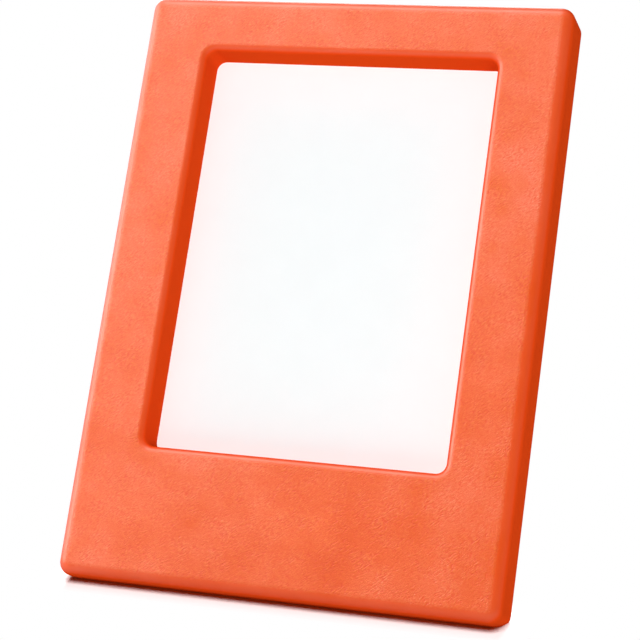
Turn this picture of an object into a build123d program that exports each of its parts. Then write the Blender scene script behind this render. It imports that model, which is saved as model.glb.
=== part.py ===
from build123d import *
import os
from math import cos, radians, sin, tan

# A stand-up magnetic frame for a small instant print.
# A moulded front frame sits over a back cover, four pairs of bar magnets hold the two together,
# and the print lies between them. A leg folds out of a channel in the cover and stops at its open angle.
# Sizes are in millimetres. X runs across the frame, Y to the back and Z up, and the table is Z = 0.

# The print and its white margins around the picture
print_width = 54.0
print_height = 86.0
print_thickness = 0.5
print_side_margin = 4.0
print_top_margin = 6.3
print_foot_margin = 17.7
print_clearance = 0.2

# Bar magnets, the same in the frame and in the cover
magnet_length = 10.0
magnet_width = 3.0
magnet_thickness = 2.0
magnet_edge = 0.2
magnet_clearance = 0.05
magnet_recess = 0.05
magnet_wall = 0.65
magnet_end_offset = 13.0

# Front frame
lean_angle = 26.5
reveal_depth = 5.4
rim_wall = 1.9
rim_end_wall = 2.2
face_wall = 1.8
window_wall = 1.6
rib_wall = 1.4
border_cells = 3
side_cells = 3
core_corner = 0.8
corner_ease = 0.2
window_corner = 1.5
front_round = 1.85
window_round = 1.15
rear_round = 0.9
standing_cut = 1.3

# Back cover
cover_inset = 1.7
cover_clearance = 0.15
cover_corner = 1.0
cover_round = 0.4
cover_skin = 1.4
cover_cells = 3
channel_web = 0.8
channel_corner = 0.5
channel_round = 0.3

# Leg and hinge
open_angle = 35.0
hinge_below_top = 20.3
leg_width = 16.0
foot_width = 12.0
foot_corner = 2.0
leg_thickness = 2.0
leg_round = 0.5
leg_side_gap = 0.3
leg_floor_gap = 0.2
leg_sink = 0.3
heel_length = 3.0
heel_end_gap = 0.5
stop_gap = 0.02
barrel_gap = 0.15
barrel_running_gap = 0.05
pin_diameter = 1.2
pin_edge = 0.15
pin_seat_depth = 2.4
pin_seat_gap = 0.02
snap_mouth = 0.95

# The recesses grow outward from the print, and the outside of the frame follows
print_recess_width = print_width + 2 * print_clearance
print_recess_height = print_height + 2 * print_clearance
pocket_width = magnet_width + 2 * magnet_clearance
pocket_length = magnet_length + 2 * magnet_clearance
pocket_depth = magnet_thickness + magnet_recess
shoulder_width = pocket_width + 2 * magnet_wall
recess_width = print_recess_width + 2 * shoulder_width
recess_height = print_recess_height
frame_width = recess_width + 2 * rim_wall
frame_height = recess_height + 2 * rim_end_wall
frame_depth = cover_inset + print_thickness + reveal_depth
outer_corner = front_round + corner_ease

# The window shows the picture and hides the margins
window_width = print_width - 2 * print_side_margin
window_height = print_height - print_top_margin - print_foot_margin
window_middle = (print_foot_margin - print_top_margin) / 2
window_top = window_middle + window_height / 2
window_bottom = window_middle - window_height / 2

magnet_spacing_x = print_recess_width + shoulder_width
magnet_spacing_y = recess_height - 2 * magnet_end_offset

channel_width = leg_width + 2 * leg_side_gap
channel_depth = leg_floor_gap + leg_thickness + leg_sink
cover_width = recess_width - 2 * cover_clearance
cover_height = recess_height - 2 * cover_clearance
cover_thickness = channel_web + channel_depth

# The frame leans back and stands on a flat cut through its lower rear edge, with the origin at the flat's middle
lean = radians(lean_angle)
standing_corner = Plane(
    origin=(0, standing_cut / tan(2 * lean), -standing_cut),
    x_dir=(1, 0, 0),
    z_dir=(0, -cos(lean), sin(lean)),
)
rim_plane = Plane(
    origin=standing_corner.from_local_coords((0, frame_height / 2, 0)),
    x_dir=(1, 0, 0),
    z_dir=standing_corner.z_dir,
)
cover_seat = rim_plane.offset(cover_inset)
cover_rear = cover_seat.offset(-cover_thickness)
depth_axis = Axis(rim_plane.origin, rim_plane.z_dir)
height_axis = Axis(rim_plane.origin, rim_plane.y_dir)

# The hinge axis lies in the channel, with the leg's barrel flush with the rear of the cover
barrel_diameter = channel_depth - barrel_gap
hinge_height = cover_height / 2 - hinge_below_top
hinge_point = cover_rear.from_local_coords((0, hinge_height, barrel_diameter / 2))
cover_section = Plane(hinge_point, x_dir=rim_plane.y_dir, z_dir=(1, 0, 0))
pin_length = channel_width + 2 * pin_seat_depth

finished = []

# Front frame: a moulded ring, cored from behind, with a step for the print and one for the cover
with BuildPart() as front_frame:
    with BuildSketch(rim_plane):
        RectangleRounded(frame_width, frame_height, outer_corner)
        with Locations((0, window_middle)):
            RectangleRounded(window_width, window_height, window_corner, mode=Mode.SUBTRACT)
    extrude(amount=frame_depth)
    fillet(front_frame.faces().sort_by(depth_axis)[-1].outer_wire().edges(), front_round)
    fillet(front_frame.faces().sort_by(depth_axis)[-1].inner_wires()[0].edges(), window_round)
    fillet(front_frame.faces().sort_by(depth_axis)[0].outer_wire().edges(), rear_round)

    with BuildSketch(rim_plane):
        RectangleRounded(recess_width, recess_height, cover_corner + cover_clearance)
    extrude(amount=cover_inset, mode=Mode.SUBTRACT)
    with BuildSketch(cover_seat):
        Rectangle(print_recess_width, print_recess_height)
    extrude(amount=print_thickness, mode=Mode.SUBTRACT)

    # Cores keep the moulded walls even, with ribs between them that carry the print and the cover
    core_depth = frame_depth - cover_inset - face_wall
    border_cell = (print_recess_width - (border_cells + 1) * rib_wall) / border_cells
    side_core_width = (recess_width - window_width) / 2 - window_wall
    side_core_length = magnet_spacing_y - pocket_length - 2 * magnet_wall
    side_cell = (side_core_length - (side_cells - 1) * rib_wall) / side_cells
    foot_core = window_bottom - window_wall + recess_height / 2
    head_core = recess_height / 2 - window_top - window_wall
    with BuildSketch(cover_seat):
        with Locations((0, (foot_core - recess_height) / 2)):
            with GridLocations(border_cell + rib_wall, 1, border_cells, 1):
                RectangleRounded(border_cell, foot_core, core_corner)
        with Locations((0, (recess_height - head_core) / 2)):
            with GridLocations(border_cell + rib_wall, 1, border_cells, 1):
                RectangleRounded(border_cell, head_core, core_corner)
        with GridLocations(recess_width - side_core_width, side_cell + rib_wall, 2, side_cells):
            RectangleRounded(side_core_width, side_cell, core_corner)
    extrude(amount=core_depth, mode=Mode.SUBTRACT)

    with BuildSketch(cover_seat):
        with GridLocations(magnet_spacing_x, magnet_spacing_y, 2, 2):
            Rectangle(pocket_width, pocket_length)
    extrude(amount=pocket_depth, mode=Mode.SUBTRACT)
    split(bisect_by=Plane.XY, keep=Keep.TOP)
front_frame.part.label = "front_frame"
finished.append(front_frame.part)

# Back cover: a plate that drops into the frame, with a channel for the leg that is open at the lower edge
with BuildPart() as back_cover:
    with BuildSketch(cover_rear):
        RectangleRounded(cover_width, cover_height, cover_corner)
    extrude(amount=cover_thickness)
    fillet(back_cover.faces().sort_by(depth_axis)[0].edges(), cover_round)

    channel_top = hinge_height + heel_length + heel_end_gap
    with BuildSketch(cover_rear) as channel:
        with Locations((0, channel_top)):
            Rectangle(channel_width, channel_top + cover_height / 2, align=(Align.CENTER, Align.MAX))
        fillet(channel.vertices().group_by(Axis.Y)[-1], channel_corner)
    extrude(amount=channel_depth, mode=Mode.SUBTRACT)
    rear_edges = back_cover.faces().sort_by(depth_axis)[0].edges().sort_by(height_axis)
    fillet(rear_edges[:-1].filter_by_position(Axis.X, -channel_width / 2, channel_width / 2), channel_round)

    # The pin snaps into its two seats through mouths that are narrower than the pin
    with BuildSketch(cover_section):
        Circle(pin_diameter / 2 + pin_seat_gap)
        Rectangle(snap_mouth, barrel_diameter / 2, align=(Align.CENTER, Align.MAX))
    extrude(amount=pin_length / 2, both=True, mode=Mode.SUBTRACT)

    with BuildSketch(cover_rear):
        with GridLocations(magnet_spacing_x, magnet_spacing_y, 2, 2):
            Rectangle(pocket_width, pocket_length)
    extrude(amount=pocket_depth, mode=Mode.SUBTRACT)

    # Cores on the print's side, between the pin seats and the magnets
    cell_inner = channel_width / 2 + pin_seat_depth + rib_wall
    cell_outer = (magnet_spacing_x - pocket_width) / 2 - rib_wall
    cover_cell = (cover_height - (cover_cells + 1) * rib_wall) / cover_cells
    with BuildSketch(cover_seat):
        with GridLocations(cell_inner + cell_outer, cover_cell + rib_wall, 2, cover_cells):
            RectangleRounded(cell_outer - cell_inner, cover_cell, core_corner)
    extrude(amount=cover_skin - cover_thickness, mode=Mode.SUBTRACT)
back_cover.part.label = "back_cover"
finished.append(back_cover.part)

# Leg: a tapered strap with a hinge barrel and a wedge heel that meets the channel floor at the open angle
leg_lean = lean - radians(open_angle)
leg_section = Plane(hinge_point, x_dir=(0, sin(leg_lean), cos(leg_lean)), z_dir=(1, 0, 0))
leg_face = Plane(hinge_point, x_dir=(1, 0, 0), z_dir=(0, -cos(leg_lean), sin(leg_lean)))
leg_rear = leg_sink - barrel_diameter / 2
leg_front = leg_rear + leg_thickness
leg_reach = (hinge_point.Z + leg_rear * sin(leg_lean)) / cos(leg_lean)
stop_distance = channel_depth - barrel_diameter / 2 - stop_gap
heel_root = (stop_distance - leg_front * cos(radians(open_angle))) / sin(radians(open_angle))
heel_tip = (stop_distance - heel_length * sin(radians(open_angle))) / cos(radians(open_angle))
with BuildPart() as leg:
    with BuildSketch(leg_section):
        with BuildLine():
            Polyline(
                (-leg_reach, leg_rear),
                (heel_length, leg_rear),
                (heel_length, heel_tip),
                (heel_root, leg_front),
                (-leg_reach, leg_front),
                close=True,
            )
        make_face()
        Circle(barrel_diameter / 2)
    extrude(amount=leg_width / 2, both=True)
    with BuildSketch(leg_face) as strap:
        with BuildLine():
            Polyline(
                (leg_width / 2, heel_length),
                (leg_width / 2, -barrel_diameter),
                (foot_width / 2, -leg_reach),
                (-foot_width / 2, -leg_reach),
                (-leg_width / 2, -barrel_diameter),
                (-leg_width / 2, heel_length),
                close=True,
            )
        make_face()
        fillet(strap.vertices().group_by(Axis.Y)[0], foot_corner)
    extrude(amount=barrel_diameter, both=True, mode=Mode.INTERSECT)
    with BuildSketch(leg_section):
        Circle(pin_diameter / 2 + barrel_running_gap)
    extrude(amount=leg_width / 2, both=True, mode=Mode.SUBTRACT)
    fillet(leg.edges().filter_by(lambda edge: edge.length > leg_reach / 2), leg_round)
    split(bisect_by=Plane.XY, keep=Keep.TOP)
leg.part.label = "leg"
finished.append(leg.part)

with BuildPart() as hinge_pin:
    with BuildSketch(cover_section):
        Circle(pin_diameter / 2)
    extrude(amount=pin_length / 2, both=True)
    chamfer(hinge_pin.edges().filter_by(GeomType.CIRCLE), pin_edge)
hinge_pin.part.label = "hinge_pin"
finished.append(hinge_pin.part)

with BuildPart() as photo_print:
    with BuildSketch(cover_seat):
        Rectangle(print_width, print_height)
    extrude(amount=print_thickness)
photo_print.part.label = "photo_print"
finished.append(photo_print.part)

# Magnets: each sits on the bottom of its pocket, just below the face around it
for row, row_side in (("lower", -1), ("upper", 1)):
    for column, column_side in (("left", -1), ("right", 1)):
        place = (column_side * magnet_spacing_x / 2, row_side * magnet_spacing_y / 2)
        for carrier, seat in (("frame", cover_seat), ("cover", cover_rear)):
            with BuildPart() as magnet:
                with BuildSketch(seat.offset(magnet_recess)):
                    with Locations(place):
                        Rectangle(magnet_width, magnet_length)
                extrude(amount=magnet_thickness)
                chamfer(magnet.edges(), magnet_edge)
            magnet.part.label = f"{carrier}_magnet_{row}_{column}"
            finished.append(magnet.part)

os.makedirs("parts", exist_ok=True)
for piece in finished:
    export_step(piece, f"parts/{piece.label}.step")
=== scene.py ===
"""Finishes, lights and camera for a stand-up magnetic photo frame.

The CAD pieces keep their shapes. Each gets a procedural finish on its own material slot.
"""

from math import cos, radians, sin

import bpy
from bpy.props import FloatProperty, FloatVectorProperty, PointerProperty
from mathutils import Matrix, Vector


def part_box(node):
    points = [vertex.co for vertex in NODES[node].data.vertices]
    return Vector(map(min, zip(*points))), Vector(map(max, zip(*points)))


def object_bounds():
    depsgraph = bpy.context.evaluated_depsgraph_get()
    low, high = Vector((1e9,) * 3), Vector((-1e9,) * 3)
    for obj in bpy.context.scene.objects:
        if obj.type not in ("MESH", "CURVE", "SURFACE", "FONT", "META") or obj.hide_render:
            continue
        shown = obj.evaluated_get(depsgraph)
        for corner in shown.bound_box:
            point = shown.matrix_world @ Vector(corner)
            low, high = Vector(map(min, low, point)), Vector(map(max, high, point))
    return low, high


bl_info = {
    "name": "Magnetic Photo Frame",
    "version": (1, 0, 0),
    "blender": (4, 5, 0),
    "location": "View3D > Sidebar > Photo Frame",
    "description": "Plastic, card and metal finishes for a stand-up photo frame, with its studio",
    "category": "Object",
}

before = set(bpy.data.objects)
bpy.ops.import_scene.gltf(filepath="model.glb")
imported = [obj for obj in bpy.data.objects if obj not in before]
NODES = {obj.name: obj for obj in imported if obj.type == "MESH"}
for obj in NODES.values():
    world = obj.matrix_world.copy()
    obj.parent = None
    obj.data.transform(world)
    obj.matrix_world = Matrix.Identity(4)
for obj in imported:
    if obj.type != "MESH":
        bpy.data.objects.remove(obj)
CAD_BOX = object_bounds()


# Sizes and colours that a user may change

class FrameFinishes(bpy.types.PropertyGroup):
    """Colours and surface sizes of the frame's pieces"""

    # The plastic colour is the orange lifted with painted sheen; it goes on the flat faces
    plastic_and_painted_sheen_colour: FloatVectorProperty(
        name="Plastic Colour",
        description="Orange of the moulded frame, cover and leg",
        subtype="COLOR",
        min=0.0,
        max=1.0,
        default=(0.815, 0.116, 0.009),
    )
    # The wall colour is a deeper copy of the same orange for rounds and side walls: painted shade
    wall_painted_shade_colour: FloatVectorProperty(
        name="Wall Colour",
        description="Deeper orange of the smooth side walls, where no grain scatters the light",
        subtype="COLOR",
        min=0.0,
        max=1.0,
        default=(0.85, 0.07, 0.008),
    )
    frame_lean: FloatProperty(
        name="Frame Lean",
        description="Angle that the front frame leans back from upright",
        subtype="ANGLE",
        default=radians(26.5),
    )
    leg_lean: FloatProperty(
        name="Leg Lean",
        description="Angle that the opened leg leans back from upright",
        subtype="ANGLE",
        default=radians(-8.5),
    )
    grain_width: FloatProperty(
        name="Grain Width",
        description="Width of the short strokes in the moulded texture",
        unit="LENGTH",
        default=0.00017,
    )
    grain_depth: FloatProperty(
        name="Grain Depth",
        description="Depth of the moulded texture on the flat faces",
        unit="LENGTH",
        default=0.00008,
    )
    mottle_size: FloatProperty(
        name="Mottle Size",
        description="Size of the soft patches in the plastic's colour",
        unit="LENGTH",
        default=0.007,
    )
    drift_size: FloatProperty(
        name="Drift Size",
        description="Size of the broad drifts from lighter to deeper orange",
        unit="LENGTH",
        default=0.028,
    )
    drift_place: FloatVectorProperty(
        name="Drift Place",
        description="Which part of the broad pattern lies on the frame",
        size=3,
        unit="LENGTH",
        default=(0.33, 0.34, 0.0),
    )
    card_colour: FloatVectorProperty(
        name="Card Colour",
        description="White of the blank print",
        subtype="COLOR",
        min=0.0,
        max=1.0,
        default=(0.845, 0.885, 0.89),
    )
    nickel_colour: FloatVectorProperty(
        name="Nickel Colour",
        description="Plating of the bar magnets",
        subtype="COLOR",
        min=0.0,
        max=1.0,
        default=(0.62, 0.60, 0.55),
    )
    steel_colour: FloatVectorProperty(
        name="Steel Colour",
        description="Bare steel of the hinge pin",
        subtype="COLOR",
        min=0.0,
        max=1.0,
        default=(0.52, 0.52, 0.53),
    )


class FrameStudio(bpy.types.PropertyGroup):
    """Camera and lights"""

    camera_turn: FloatProperty(
        name="Camera Turn",
        description="Angle of the camera to the right of straight ahead",
        subtype="ANGLE",
        default=radians(18.221),
    )
    camera_height: FloatProperty(
        name="Camera Height",
        description="Angle of the camera above level",
        subtype="ANGLE",
        default=radians(12.229),
    )
    camera_distance: FloatProperty(
        name="Camera Distance",
        description="Distance from the camera to the frame's standing edge, along the view",
        unit="LENGTH",
        default=0.295912,
    )
    camera_slide: FloatVectorProperty(
        name="Camera Slide",
        description="Where the standing edge lies across and up the view",
        size=2,
        unit="LENGTH",
        default=(-0.008295, -0.044557),
    )
    focal_pixels: FloatProperty(
        name="Focal Length in Pixels",
        description="Focal length for a picture 640 pixels wide",
        default=2042.12,
    )
    view_centre: FloatVectorProperty(
        name="View Centre",
        description="Pixel that the camera's axis passes through",
        size=2,
        default=(342.3, 296.86),
    )
    lamp_colour: FloatVectorProperty(
        name="Lamp Colour",
        description="Faintly warm white of the softboxes on the frame",
        subtype="COLOR",
        min=0.0,
        max=1.0,
        default=(1.0, 0.98, 0.87),
    )
    key_strength: FloatProperty(
        name="Key Strength",
        description="Power of the key softbox at the upper left",
        unit="POWER",
        default=0.86,
    )
    left_strength: FloatProperty(
        name="Left Strength",
        description="Power of the softbox on the left",
        unit="POWER",
        default=4.45,
    )
    top_strength: FloatProperty(
        name="Top Strength",
        description="Power of the overhead softbox",
        unit="POWER",
        default=5.6,
    )
    right_strength: FloatProperty(
        name="Right Strength",
        description="Power of the matt fill on the right",
        unit="POWER",
        default=1.8,
    )
    front_strength: FloatProperty(
        name="Front Strength",
        description="Power of the matt fill in front",
        unit="POWER",
        default=4.8,
    )
    floor_strength: FloatProperty(
        name="Floor Strength",
        description="Power of the light on the floor",
        unit="POWER",
        default=12.0,
    )
    floor_back_strength: FloatProperty(
        name="Floor Back Strength",
        description="Power of the light on the floor behind the frame",
        unit="POWER",
        default=18.0,
    )
    back_strength: FloatProperty(
        name="Back Strength",
        description="Power of the softbox behind the frame",
        unit="POWER",
        default=7.0,
    )
    card_strength: FloatProperty(
        name="Card Strength",
        description="Power of the even light on the print",
        unit="POWER",
        default=13.7,
    )
    room_level: FloatProperty(
        name="Room Level",
        description="Soft light from the white room",
        default=0.02,
    )


# Fixed values of the finishes and the stage. A pair of pairs takes a span to two levels.

# Plastic. Flatness is 1 on the broad faces and 0 on the side walls.
FLAT_GRAIN = ((0.93, 0.995), (0.12, 1.0))
FLAT_GLOSS = ((0.45, 0.9), (0.0, 0.68))
# Shares of the sheen-painted flat orange against the shade-painted wall orange, by flatness
ROUND_PAINTED_SHEEN = ((0.55, 0.97), (0.0, 0.55))
EDGE_PAINTED_SHEEN = ((0.965, 0.998), (0.0, 0.45))
# Painted shade: the side walls darkened further
WALL_PAINTED_SHADE = ((0.1, 0.6), (0.86, 1.0))
SATIN = ((0.0, 1.2), (0.42, 0.33))
STROKE_SLANT = radians(-42)
STROKE_STRETCH = (0.32, 1, 1)
NOISE_MIDDLE = 0.5
PATCH_WIDTHS = 14
PATCH_STRENGTH = ((0.35, 0.65), (0.4, 1.0))
TOOTH_WIDTHS = 0.8
TOOTH_HEIGHT = 0.5
GRAIN_SWING = (-0.25, 0.25)
GRAIN_DEEP = (0.94, 0.42, 0.0, 1)
GRAIN_LIGHT = (1.06, 1.58, 4.0, 1)
CLOUD_SPAN = (0.3, 0.7)
CLOUD_DEEP = (0.94, 0.78, 0.2)
CLOUD_LIGHT = (1.04, 1.16, 2.2)
DRIFT_SPAN = (0.2, 0.7)
DRIFT_DEEP = (0.98, 0.86, 0.4, 1)
DRIFT_LIGHT = (1.02, 1.14, 1.9, 1)

# Card
CARD_TOOTH_SIZE = 0.0002
CARD_TOOTH_DEPTH = 0.000002
CARD_CLOUD_SIZE = 0.006
CARD_SHADES = (0.985, 1.015)
CARD_ROUGHNESS = ((0.3, 0.7), (0.42, 0.55))

# Metal
MARK_SIZE = 0.00012
MARK_DEPTH = 0.000002
MARK_STRENGTH = 0.6
METAL_CLOUD_SIZE = 0.0016
METAL_SHADES = (0.88, 1.08)
WEAR_SPAN = (0.3, 0.7)
WEAR_SHARES = (0.7, 1.4)
MAGNET_STREAK = (1, 0.2, 1)
MAGNET_ROUGHNESS = 0.24
PIN_STREAK = (0.15, 1, 1)
PIN_ROUGHNESS = 0.3

# Room, as mirrors see it, by the direction across and up
ROOM_LEFT = ((-0.55, -0.1), (1.0, 0.03))
ROOM_FAR_LEFT = ((-0.9, -0.6), (2.6, 0.0))
ROOM_ABOVE = ((0.5, 0.9), (0.03, 0.6))

# Floor
FLOOR_SIZE = 4.0
FLOOR_TO_BOUNCES = (0.5, 0.5, 0.5, 1.0)
FLOOR_TO_MIRRORS = (0.6, 0.6, 0.6, 1.0)
WHITE = (1.0, 1.0, 1.0, 1.0)
STANDING_STRIP = (-0.004, 0.005)
SHADOW_REACH = 0.0035

# Camera. Its place is measured from a point at the frame's standing edge.
PICTURE_PIXELS = 640
SENSOR_WIDTH = 36.0
CAMERA_CLIP_START = 0.01
STANDING_EDGE = (0, 0.00098, -0.0013)


# Material helpers

class NodeWriter:
    """Adds nodes to a material or to the room. Inputs may be sockets or plain values."""

    # The Mix node's colour sockets share their names with its other types, so they go by number
    mix_inputs = (0, 6, 7)
    mix_result = 2

    def __init__(self, tree):
        self.nodes = tree.nodes
        self.links = tree.links

    def feed(self, sockets, values):
        """Link or set each input socket in turn."""
        for socket, value in zip(sockets, values):
            if isinstance(value, bpy.types.NodeSocket):
                self.links.new(value, socket)
            else:
                socket.default_value = value

    def math(self, operation, *values):
        """A Math node."""
        node = self.nodes.new("ShaderNodeMath")
        node.operation = operation
        self.feed(node.inputs, values)
        return node.outputs[0]

    def vector(self, operation, *values):
        """A Vector Math node."""
        node = self.nodes.new("ShaderNodeVectorMath")
        node.operation = operation
        self.feed(node.inputs, values)
        gives_number = operation in ("LENGTH", "DOT_PRODUCT")
        return node.outputs["Value" if gives_number else "Vector"]

    def noise(self, vector, size, detail, roughness):
        """A Noise texture whose features are about the given size in metres."""
        node = self.nodes.new("ShaderNodeTexNoise")
        node.inputs["Scale"].default_value = 1.0 / size
        node.inputs["Detail"].default_value = detail
        node.inputs["Roughness"].default_value = roughness
        self.links.new(vector, node.inputs["Vector"])
        return node.outputs["Fac"]

    def spread(self, value, span, levels=(0.0, 1.0), smooth=False):
        """A Map Range node from a span of values to two levels, which hold beyond it."""
        node = self.nodes.new("ShaderNodeMapRange")
        node.interpolation_type = "SMOOTHSTEP" if smooth else "LINEAR"
        self.links.new(value, node.inputs["Value"])
        node.inputs["From Min"].default_value, node.inputs["From Max"].default_value = span
        node.inputs["To Min"].default_value, node.inputs["To Max"].default_value = levels
        return node.outputs["Result"]

    def mapping(self, vector, rotation=(0, 0, 0), scale=(1, 1, 1)):
        """A Mapping node that turns and stretches a pattern."""
        node = self.nodes.new("ShaderNodeMapping")
        node.inputs["Rotation"].default_value = rotation
        node.inputs["Scale"].default_value = scale
        self.links.new(vector, node.inputs["Vector"])
        return node.outputs["Vector"]

    def mix(self, factor, first, second, blend="MIX"):
        """A colour Mix node."""
        node = self.nodes.new("ShaderNodeMix")
        node.data_type = "RGBA"
        node.blend_type = blend
        self.feed([node.inputs[index] for index in self.mix_inputs], (factor, first, second))
        return node.outputs[self.mix_result]

    def multiply(self, first, second):
        """One colour multiplied by another."""
        return self.mix(1.0, first, second, "MULTIPLY")

    def seen(self, path):
        """1 for rays that the eye follows, straight or through glass, and 0 for the rest."""
        return self.math(
            "MAXIMUM", path.outputs["Is Camera Ray"], path.outputs["Is Transmission Ray"])

    def bump(self, shader, height, distance, strength=1.0):
        """Raise a pattern on a shader's surface."""
        node = self.nodes.new("ShaderNodeBump")
        node.inputs["Strength"].default_value = strength
        node.inputs["Distance"].default_value = distance
        self.links.new(height, node.inputs["Height"])
        self.links.new(node.outputs["Normal"], shader.inputs["Normal"])


def new_material(name):
    """A node material, with a writer for its nodes and its Principled shader."""
    material = bpy.data.materials.new(name)
    material.use_nodes = True
    shader = material.node_tree.nodes["Principled BSDF"]
    return material, NodeWriter(material.node_tree), shader


def finish(piece, material):
    """Put a finish on every material slot of a CAD piece."""
    if not piece.material_slots:
        piece.data.materials.append(material)
    for slot in piece.material_slots:
        slot.material = material


def tint(colour, factors):
    """A colour with each channel scaled, and full alpha."""
    return tuple(min(channel * factor, 1.0) for channel, factor in zip(colour, factors)) + (1.0,)


def shade(colour, factor):
    """A colour made lighter or darker, with full alpha."""
    return tint(colour, (factor,) * 3)


def face_space(writer, coordinates, lean, stretch=(1, 1, 1)):
    """Object coordinates turned so that a leaning face lies flat in them."""
    return writer.mapping(coordinates.outputs["Object"], (lean - radians(90), 0, 0), stretch)


def stroked_grain(writer, face, flatness, finishes):
    """Height of short slanting strokes, gathered in patches, over a finer tooth.

    The grain fades where the surface turns away from the flat faces.
    """
    width = finishes.grain_width
    turned = writer.mapping(face, rotation=(0, 0, STROKE_SLANT))
    strokes_space = writer.mapping(turned, scale=STROKE_STRETCH)
    strokes = writer.noise(strokes_space, width, detail=1.0, roughness=0.5)
    patches = writer.noise(face, width * PATCH_WIDTHS, detail=2.0, roughness=0.5)
    patches = writer.spread(patches, *PATCH_STRENGTH)
    strokes = writer.math("MULTIPLY", writer.math("SUBTRACT", strokes, NOISE_MIDDLE), patches)
    tooth = writer.noise(face, width * TOOTH_WIDTHS, detail=1.0, roughness=0.5)
    tooth = writer.math("MULTIPLY_ADD", tooth, TOOTH_HEIGHT, -TOOTH_HEIGHT * NOISE_MIDDLE)
    flats = writer.spread(flatness, *FLAT_GRAIN, smooth=True)
    return writer.math("MULTIPLY", writer.math("ADD", strokes, tooth), flats)


def plastic_tones(writer, face, flatness, clouds, grain, finishes):
    """Colour of the plastic: soft clouds, broad drifts, then the grain on top.

    It is deeper on the rounds, and deepest on the side walls, as painted shade; the paler orange
    of the flat faces holds painted sheen.
    """
    colour = finishes.plastic_and_painted_sheen_colour
    base = writer.mix(clouds, tint(colour, CLOUD_DEEP), tint(colour, CLOUD_LIGHT))
    drift_space = writer.vector("ADD", face, tuple(finishes.drift_place))
    drift = writer.noise(drift_space, finishes.drift_size, detail=1.0, roughness=0.5)
    drift = writer.spread(drift, DRIFT_SPAN)
    base = writer.multiply(base, writer.mix(drift, DRIFT_DEEP, DRIFT_LIGHT))
    grain_tone = writer.spread(grain, GRAIN_SWING)
    base = writer.multiply(base, writer.mix(grain_tone, GRAIN_DEEP, GRAIN_LIGHT))
    # Flat faces take the orange with painted sheen; rounds and side walls the deeper orange of
    # painted shade
    round_painted_sheen = writer.spread(flatness, *ROUND_PAINTED_SHEEN)
    edge_painted_sheen = writer.spread(flatness, *EDGE_PAINTED_SHEEN, smooth=True)
    painted_sheen_share = writer.math("ADD", round_painted_sheen, edge_painted_sheen)
    base = writer.mix(painted_sheen_share, shade(finishes.wall_painted_shade_colour, 1), base)
    # Painted shade: the side walls darkened further
    return writer.multiply(base, writer.spread(flatness, *WALL_PAINTED_SHADE, smooth=True))


def moulded_plastic(name, lean, finishes):
    """Satin orange plastic: stroked grain on the flats, smooth rounds, soft patches of colour."""
    material, writer, shader = new_material(name)
    coordinates = writer.nodes.new("ShaderNodeTexCoord")
    face = face_space(writer, coordinates, lean)
    ahead = (0.0, -cos(lean), sin(lean))
    facing = writer.vector("DOT_PRODUCT", coordinates.outputs["Normal"], ahead)
    flatness = writer.math("ABSOLUTE", facing)

    grain = stroked_grain(writer, face, flatness, finishes)
    clouds = writer.noise(face, finishes.mottle_size, detail=3.0, roughness=0.55)
    clouds = writer.spread(clouds, CLOUD_SPAN)
    base = plastic_tones(writer, face, flatness, clouds, grain, finishes)
    rough = writer.spread(writer.math("ADD", clouds, grain), *SATIN)
    gloss = writer.spread(flatness, *FLAT_GLOSS, smooth=True)
    writer.links.new(base, shader.inputs["Base Color"])
    writer.links.new(rough, shader.inputs["Roughness"])
    writer.links.new(gloss, shader.inputs["Specular IOR Level"])
    writer.bump(shader, grain, finishes.grain_depth)
    return material


def print_card(name, colour, lean):
    """Blank instant print: white card with a faint tooth."""
    material, writer, shader = new_material(name)
    coordinates = writer.nodes.new("ShaderNodeTexCoord")
    face = face_space(writer, coordinates, lean)
    tooth = writer.noise(face, CARD_TOOTH_SIZE, detail=2.0, roughness=0.6)
    cloud = writer.noise(face, CARD_CLOUD_SIZE, detail=2.0, roughness=0.5)
    base = writer.mix(cloud, *(shade(colour, factor) for factor in CARD_SHADES))
    writer.links.new(base, shader.inputs["Base Color"])
    writer.links.new(writer.spread(tooth, *CARD_ROUGHNESS), shader.inputs["Roughness"])
    writer.bump(shader, tooth, CARD_TOOTH_DEPTH)
    return material


def plated_metal(name, colour, lean, streak, roughness):
    """Metal with fine drawn or tumbled marks along one direction."""
    material, writer, shader = new_material(name)
    coordinates = writer.nodes.new("ShaderNodeTexCoord")
    face = face_space(writer, coordinates, lean, streak)
    marks = writer.noise(face, MARK_SIZE, detail=2.0, roughness=0.6)
    cloud = writer.noise(
        coordinates.outputs["Object"], METAL_CLOUD_SIZE, detail=3.0, roughness=0.6)
    base = writer.mix(cloud, *(shade(colour, factor) for factor in METAL_SHADES))
    wear = writer.math(
        "ADD", writer.math("MULTIPLY", marks, 0.5), writer.math("MULTIPLY", cloud, 0.5))
    wear_levels = tuple(roughness * share for share in WEAR_SHARES)
    writer.links.new(base, shader.inputs["Base Color"])
    writer.links.new(writer.spread(wear, WEAR_SPAN, wear_levels), shader.inputs["Roughness"])
    shader.inputs["Metallic"].default_value = 1.0
    writer.bump(shader, marks, MARK_DEPTH, MARK_STRENGTH)
    return material


# Pieces

class FinishOperator:
    """Shared by the operators that finish one piece or a group of like pieces."""

    bl_options = {"REGISTER", "UNDO"}


class PHOTOFRAME_OT_front_frame(FinishOperator, bpy.types.Operator):
    """Give the front frame its grained orange plastic"""

    bl_idname = "photoframe.front_frame"
    bl_label = "Finish Front Frame"

    def execute(self, context):
        finishes = context.scene.photo_frame_finishes
        material = moulded_plastic("front_frame_plastic", finishes.frame_lean, finishes)
        finish(NODES["front_frame"], material)
        return {"FINISHED"}


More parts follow.
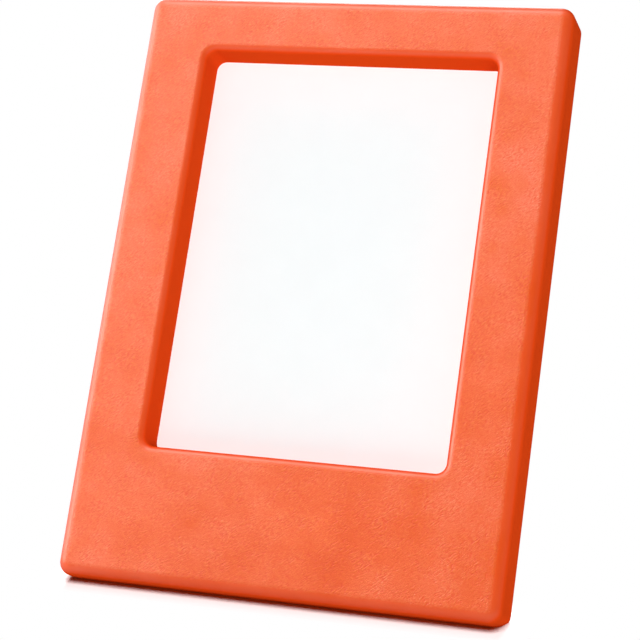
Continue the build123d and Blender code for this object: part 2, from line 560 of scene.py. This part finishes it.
class PHOTOFRAME_OT_back_cover(FinishOperator, bpy.types.Operator):
    """Give the back cover its grained orange plastic"""

    bl_idname = "photoframe.back_cover"
    bl_label = "Finish Back Cover"

    def execute(self, context):
        finishes = context.scene.photo_frame_finishes
        material = moulded_plastic("back_cover_plastic", finishes.frame_lean, finishes)
        finish(NODES["back_cover"], material)
        return {"FINISHED"}


class PHOTOFRAME_OT_leg(FinishOperator, bpy.types.Operator):
    """Give the folding leg its grained orange plastic"""

    bl_idname = "photoframe.leg"
    bl_label = "Finish Leg"

    def execute(self, context):
        finishes = context.scene.photo_frame_finishes
        material = moulded_plastic("leg_plastic", finishes.leg_lean, finishes)
        finish(NODES["leg"], material)
        return {"FINISHED"}


class PHOTOFRAME_OT_print(FinishOperator, bpy.types.Operator):
    """Give the blank print its white card"""

    bl_idname = "photoframe.print"
    bl_label = "Finish Print"

    def execute(self, context):
        finishes = context.scene.photo_frame_finishes
        material = print_card("white_card", finishes.card_colour, finishes.frame_lean)
        finish(NODES["photo_print"], material)
        return {"FINISHED"}


class PHOTOFRAME_OT_magnets(FinishOperator, bpy.types.Operator):
    """Give the bar magnets their nickel plating"""

    bl_idname = "photoframe.magnets"
    bl_label = "Finish Magnets"

    def execute(self, context):
        finishes = context.scene.photo_frame_finishes
        material = plated_metal(
            "magnet_plating", finishes.nickel_colour, finishes.frame_lean,
            MAGNET_STREAK, MAGNET_ROUGHNESS,
        )
        for name, piece in NODES.items():
            if "magnet" in name:
                finish(piece, material)
        return {"FINISHED"}


class PHOTOFRAME_OT_hinge_pin(FinishOperator, bpy.types.Operator):
    """Give the hinge pin its drawn steel"""

    bl_idname = "photoframe.hinge_pin"
    bl_label = "Finish Hinge Pin"

    def execute(self, context):
        finishes = context.scene.photo_frame_finishes
        material = plated_metal(
            "pin_steel", finishes.steel_colour, 0.0, PIN_STREAK, PIN_ROUGHNESS)
        finish(NODES["hinge_pin"], material)
        return {"FINISHED"}


# Stage

def white_room(level):
    """A world that lights softly and shows white behind the frame.

    Mirrors see it white on the left and above, and brightest at the far left.
    """
    world = bpy.data.worlds.new("white_room")
    world.use_nodes = True
    writer = NodeWriter(world.node_tree)
    background = writer.nodes["Background"]
    background.inputs["Color"].default_value = WHITE
    path = writer.nodes.new("ShaderNodeLightPath")
    coordinates = writer.nodes.new("ShaderNodeTexCoord")
    direction = writer.nodes.new("ShaderNodeSeparateXYZ")
    writer.links.new(coordinates.outputs["Generated"], direction.inputs[0])
    across, upward = direction.outputs["X"], direction.outputs["Z"]
    left = writer.spread(across, *ROOM_LEFT, smooth=True)
    far_left = writer.spread(across, *ROOM_FAR_LEFT, smooth=True)
    above = writer.spread(upward, *ROOM_ABOVE, smooth=True)
    mirrored = writer.math("MAXIMUM", writer.math("ADD", left, far_left), above)
    mirrored = writer.math("SUBTRACT", mirrored, level)
    strength = writer.math("MULTIPLY_ADD", writer.seen(path), 1.0 - level, level)
    strength = writer.math("MULTIPLY_ADD", path.outputs["Is Glossy Ray"], mirrored, strength)
    writer.links.new(strength, background.inputs["Strength"])
    bpy.context.scene.world = world


def floor_distance(writer, position, low, high):
    """Distance along the floor from a point to a rectangle given by its two end corners."""
    middle = ((low.x + high.x) / 2, (low.y + high.y) / 2, 0)
    half = ((high.x - low.x) / 2, (high.y - low.y) / 2, 0)
    offset = writer.vector("ABSOLUTE", writer.vector("SUBTRACT", position, middle))
    outside = writer.vector("MAXIMUM", writer.vector("SUBTRACT", offset, half), (0, 0, 0))
    return writer.vector("LENGTH", outside)


def floor_paper():
    """Paper that goes white to the eye, and keeps the shadow under the frame and the leg."""
    material, writer, shader = new_material("floor_paper")
    nodes, links = writer.nodes, writer.links
    nodes.remove(shader)
    path = nodes.new("ShaderNodeLightPath")
    seen = writer.seen(path)
    paper = nodes.new("ShaderNodeBsdfDiffuse")
    bounced = writer.mix(path.outputs["Is Glossy Ray"], FLOOR_TO_BOUNCES, FLOOR_TO_MIRRORS)
    links.new(writer.mix(seen, bounced, WHITE), paper.inputs["Color"])

    place = nodes.new("ShaderNodeTexCoord").outputs["Object"]
    leg_low, leg_high = (Vector(corner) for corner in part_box("leg"))
    frame_low, frame_high = (
        Vector((corner[0], edge, 0)) for corner, edge in zip(CAD_BOX, STANDING_STRIP))
    near_frame = floor_distance(writer, place, frame_low, frame_high)
    near_leg = floor_distance(writer, place, leg_low, leg_high)
    nearest = writer.math("MINIMUM", near_frame, near_leg)
    far = writer.spread(nearest, (0.0, SHADOW_REACH), smooth=True)
    white = nodes.new("ShaderNodeEmission")
    white.inputs["Strength"].default_value = 1.0
    mix = nodes.new("ShaderNodeMixShader")
    seen_white = writer.math("MULTIPLY", seen, far)
    writer.feed(mix.inputs, (seen_white, paper.outputs[0], white.outputs[0]))
    links.new(mix.outputs[0], nodes["Material Output"].inputs["Surface"])
    return material


def white_floor():
    """A large floor under the frame."""
    bpy.ops.object.select_all(action="DESELECT")
    bpy.ops.mesh.primitive_plane_add(size=FLOOR_SIZE, location=(0, 0, 0))
    floor = bpy.context.object
    floor.name = "floor"
    floor.data.materials.append(floor_paper())
    return floor


def softbox(name, direction, distance, size, power):
    """A square area light aimed at the frame's middle."""
    middle = (Vector(CAD_BOX[0]) + Vector(CAD_BOX[1])) / 2
    light = bpy.data.lights.new(name, "AREA")
    light.shape = "SQUARE"
    light.size = size
    light.energy = power
    lamp = bpy.data.objects.new(name, light)
    lamp.location = middle + Vector(direction).normalized() * distance
    lamp.rotation_euler = (middle - lamp.location).to_track_quat("-Z", "Y").to_euler()
    bpy.context.scene.collection.objects.link(lamp)
    return lamp


def share_lights(lamps, card_lamp, floor_lamps, floor):
    """The print and the floor each take their direct light from lamps of their own.

    The frame's deep border doesn't shade the print, and the frame's shadow stays under it and
    behind.
    """
    card = NODES["photo_print"]
    spared = bpy.data.collections.new("spared")
    for index, piece in enumerate((card, floor)):
        spared.objects.link(piece)
        spared.collection_objects[index].light_linking.link_state = "EXCLUDE"
    for lamp in lamps:
        lamp.light_linking.receiver_collection = spared
    lit_card = bpy.data.collections.new("lit_card")
    lit_card.objects.link(card)
    card_lamp.light_linking.receiver_collection = lit_card
    card_lamp.light_linking.blocker_collection = lit_card
    lit_floor = bpy.data.collections.new("lit_floor")
    lit_floor.objects.link(floor)
    for lamp in floor_lamps:
        lamp.light_linking.receiver_collection = lit_floor
    card.visible_glossy = False


def product_camera(studio):
    """The camera of the product view, for a square picture."""
    turn, height = studio.camera_turn, studio.camera_height
    right = Vector((cos(turn), sin(turn), 0))
    up = Vector((-sin(turn) * sin(height), cos(turn) * sin(height), cos(height)))
    back = Vector((sin(turn) * cos(height), -cos(turn) * cos(height), sin(height)))
    slide = right * studio.camera_slide[0] + up * studio.camera_slide[1]
    camera_data = bpy.data.cameras.new("product_camera")
    camera_data.sensor_width = SENSOR_WIDTH
    camera_data.lens = studio.focal_pixels / PICTURE_PIXELS * SENSOR_WIDTH
    camera_data.shift_x = (PICTURE_PIXELS / 2 - studio.view_centre[0]) / PICTURE_PIXELS
    camera_data.shift_y = (studio.view_centre[1] - PICTURE_PIXELS / 2) / PICTURE_PIXELS
    camera_data.clip_start = CAMERA_CLIP_START
    camera = bpy.data.objects.new("product_camera", camera_data)
    camera.location = Vector(STANDING_EDGE) - slide + back * studio.camera_distance
    camera.rotation_euler = (-back).to_track_quat("-Z", "Y").to_euler()
    bpy.context.scene.collection.objects.link(camera)
    bpy.context.scene.camera = camera


class PHOTOFRAME_OT_stage(bpy.types.Operator):
    """Set up the white floor and room, the softboxes and the camera"""

    bl_idname = "photoframe.stage"
    bl_label = "Set Stage"

    def execute(self, context):
        studio = context.scene.photo_frame_studio
        context.scene.view_settings.view_transform = "Standard"
        white_room(studio.room_level)
        floor = white_floor()
        lamps = [
            softbox("key_softbox", direction=(-0.46, -0.52, 0.72),
                    distance=0.7, size=0.28, power=studio.key_strength),
            softbox("left_softbox", direction=(-0.84, -0.32, 0.42),
                    distance=1.0, size=0.6, power=studio.left_strength),
            softbox("top_softbox", direction=(-0.28, 0.0, 0.96),
                    distance=1.0, size=0.6, power=studio.top_strength),
            softbox("back_softbox", direction=(-0.35, 0.92, 0.20),
                    distance=1.0, size=0.6, power=studio.back_strength),
        ]
        fills = [
            softbox("right_fill", direction=(0.97, 0.20, 0.15),
                    distance=1.0, size=0.9, power=studio.right_strength),
            softbox("front_fill", direction=(0.55, -0.82, 0.12),
                    distance=1.0, size=0.3, power=studio.front_strength),
        ]
        for lamp in lamps + fills:
            lamp.data.color = studio.lamp_colour
        for fill in fills:
            fill.visible_glossy = False
        card_lamp = softbox("card_softbox", direction=(0.0, -0.895, 0.446),
                            distance=1.2, size=0.75, power=studio.card_strength)
        floor_lamps = [
            softbox("floor_softbox", direction=(0.2, -0.6, 0.78),
                    distance=1.0, size=0.6, power=studio.floor_strength),
            softbox("floor_back_softbox", direction=(-0.2, 0.75, 0.63),
                    distance=1.0, size=0.6, power=studio.floor_back_strength),
        ]
        share_lights(lamps + fills, card_lamp, floor_lamps, floor)
        product_camera(studio)
        return {"FINISHED"}


class PHOTOFRAME_PT_panel(bpy.types.Panel):
    """Photo frame finishes and stage"""

    bl_idname = "PHOTOFRAME_PT_panel"
    bl_label = "Photo Frame"
    bl_space_type = "VIEW_3D"
    bl_region_type = "UI"
    bl_category = "Photo Frame"

    def draw(self, context):
        layout = self.layout
        for group in (context.scene.photo_frame_finishes, context.scene.photo_frame_studio):
            column = layout.column(align=True)
            for name in group.__annotations__:
                column.prop(group, name)
        column = layout.column(align=True)
        for operator in OPERATORS:
            column.operator(operator.bl_idname)


OPERATORS = (
    PHOTOFRAME_OT_front_frame,
    PHOTOFRAME_OT_back_cover,
    PHOTOFRAME_OT_leg,
    PHOTOFRAME_OT_print,
    PHOTOFRAME_OT_magnets,
    PHOTOFRAME_OT_hinge_pin,
    PHOTOFRAME_OT_stage,
)
CLASSES = (FrameFinishes, FrameStudio) + OPERATORS + (PHOTOFRAME_PT_panel,)


def register():
    """Register the classes and hang the settings on the scene."""
    for entry in CLASSES:
        bpy.utils.register_class(entry)
    bpy.types.Scene.photo_frame_finishes = PointerProperty(type=FrameFinishes)
    bpy.types.Scene.photo_frame_studio = PointerProperty(type=FrameStudio)


def unregister():
    """Take the settings and classes away again."""
    del bpy.types.Scene.photo_frame_studio
    del bpy.types.Scene.photo_frame_finishes
    for entry in reversed(CLASSES):
        bpy.utils.unregister_class(entry)


def main():
    """Finish the pieces in order and set the stage."""
    register()
    bpy.ops.photoframe.front_frame()
    bpy.ops.photoframe.back_cover()
    bpy.ops.photoframe.leg()
    bpy.ops.photoframe.print()
    bpy.ops.photoframe.magnets()
    bpy.ops.photoframe.hinge_pin()
    bpy.ops.photoframe.stage()


if __name__ == "__main__":
    main()
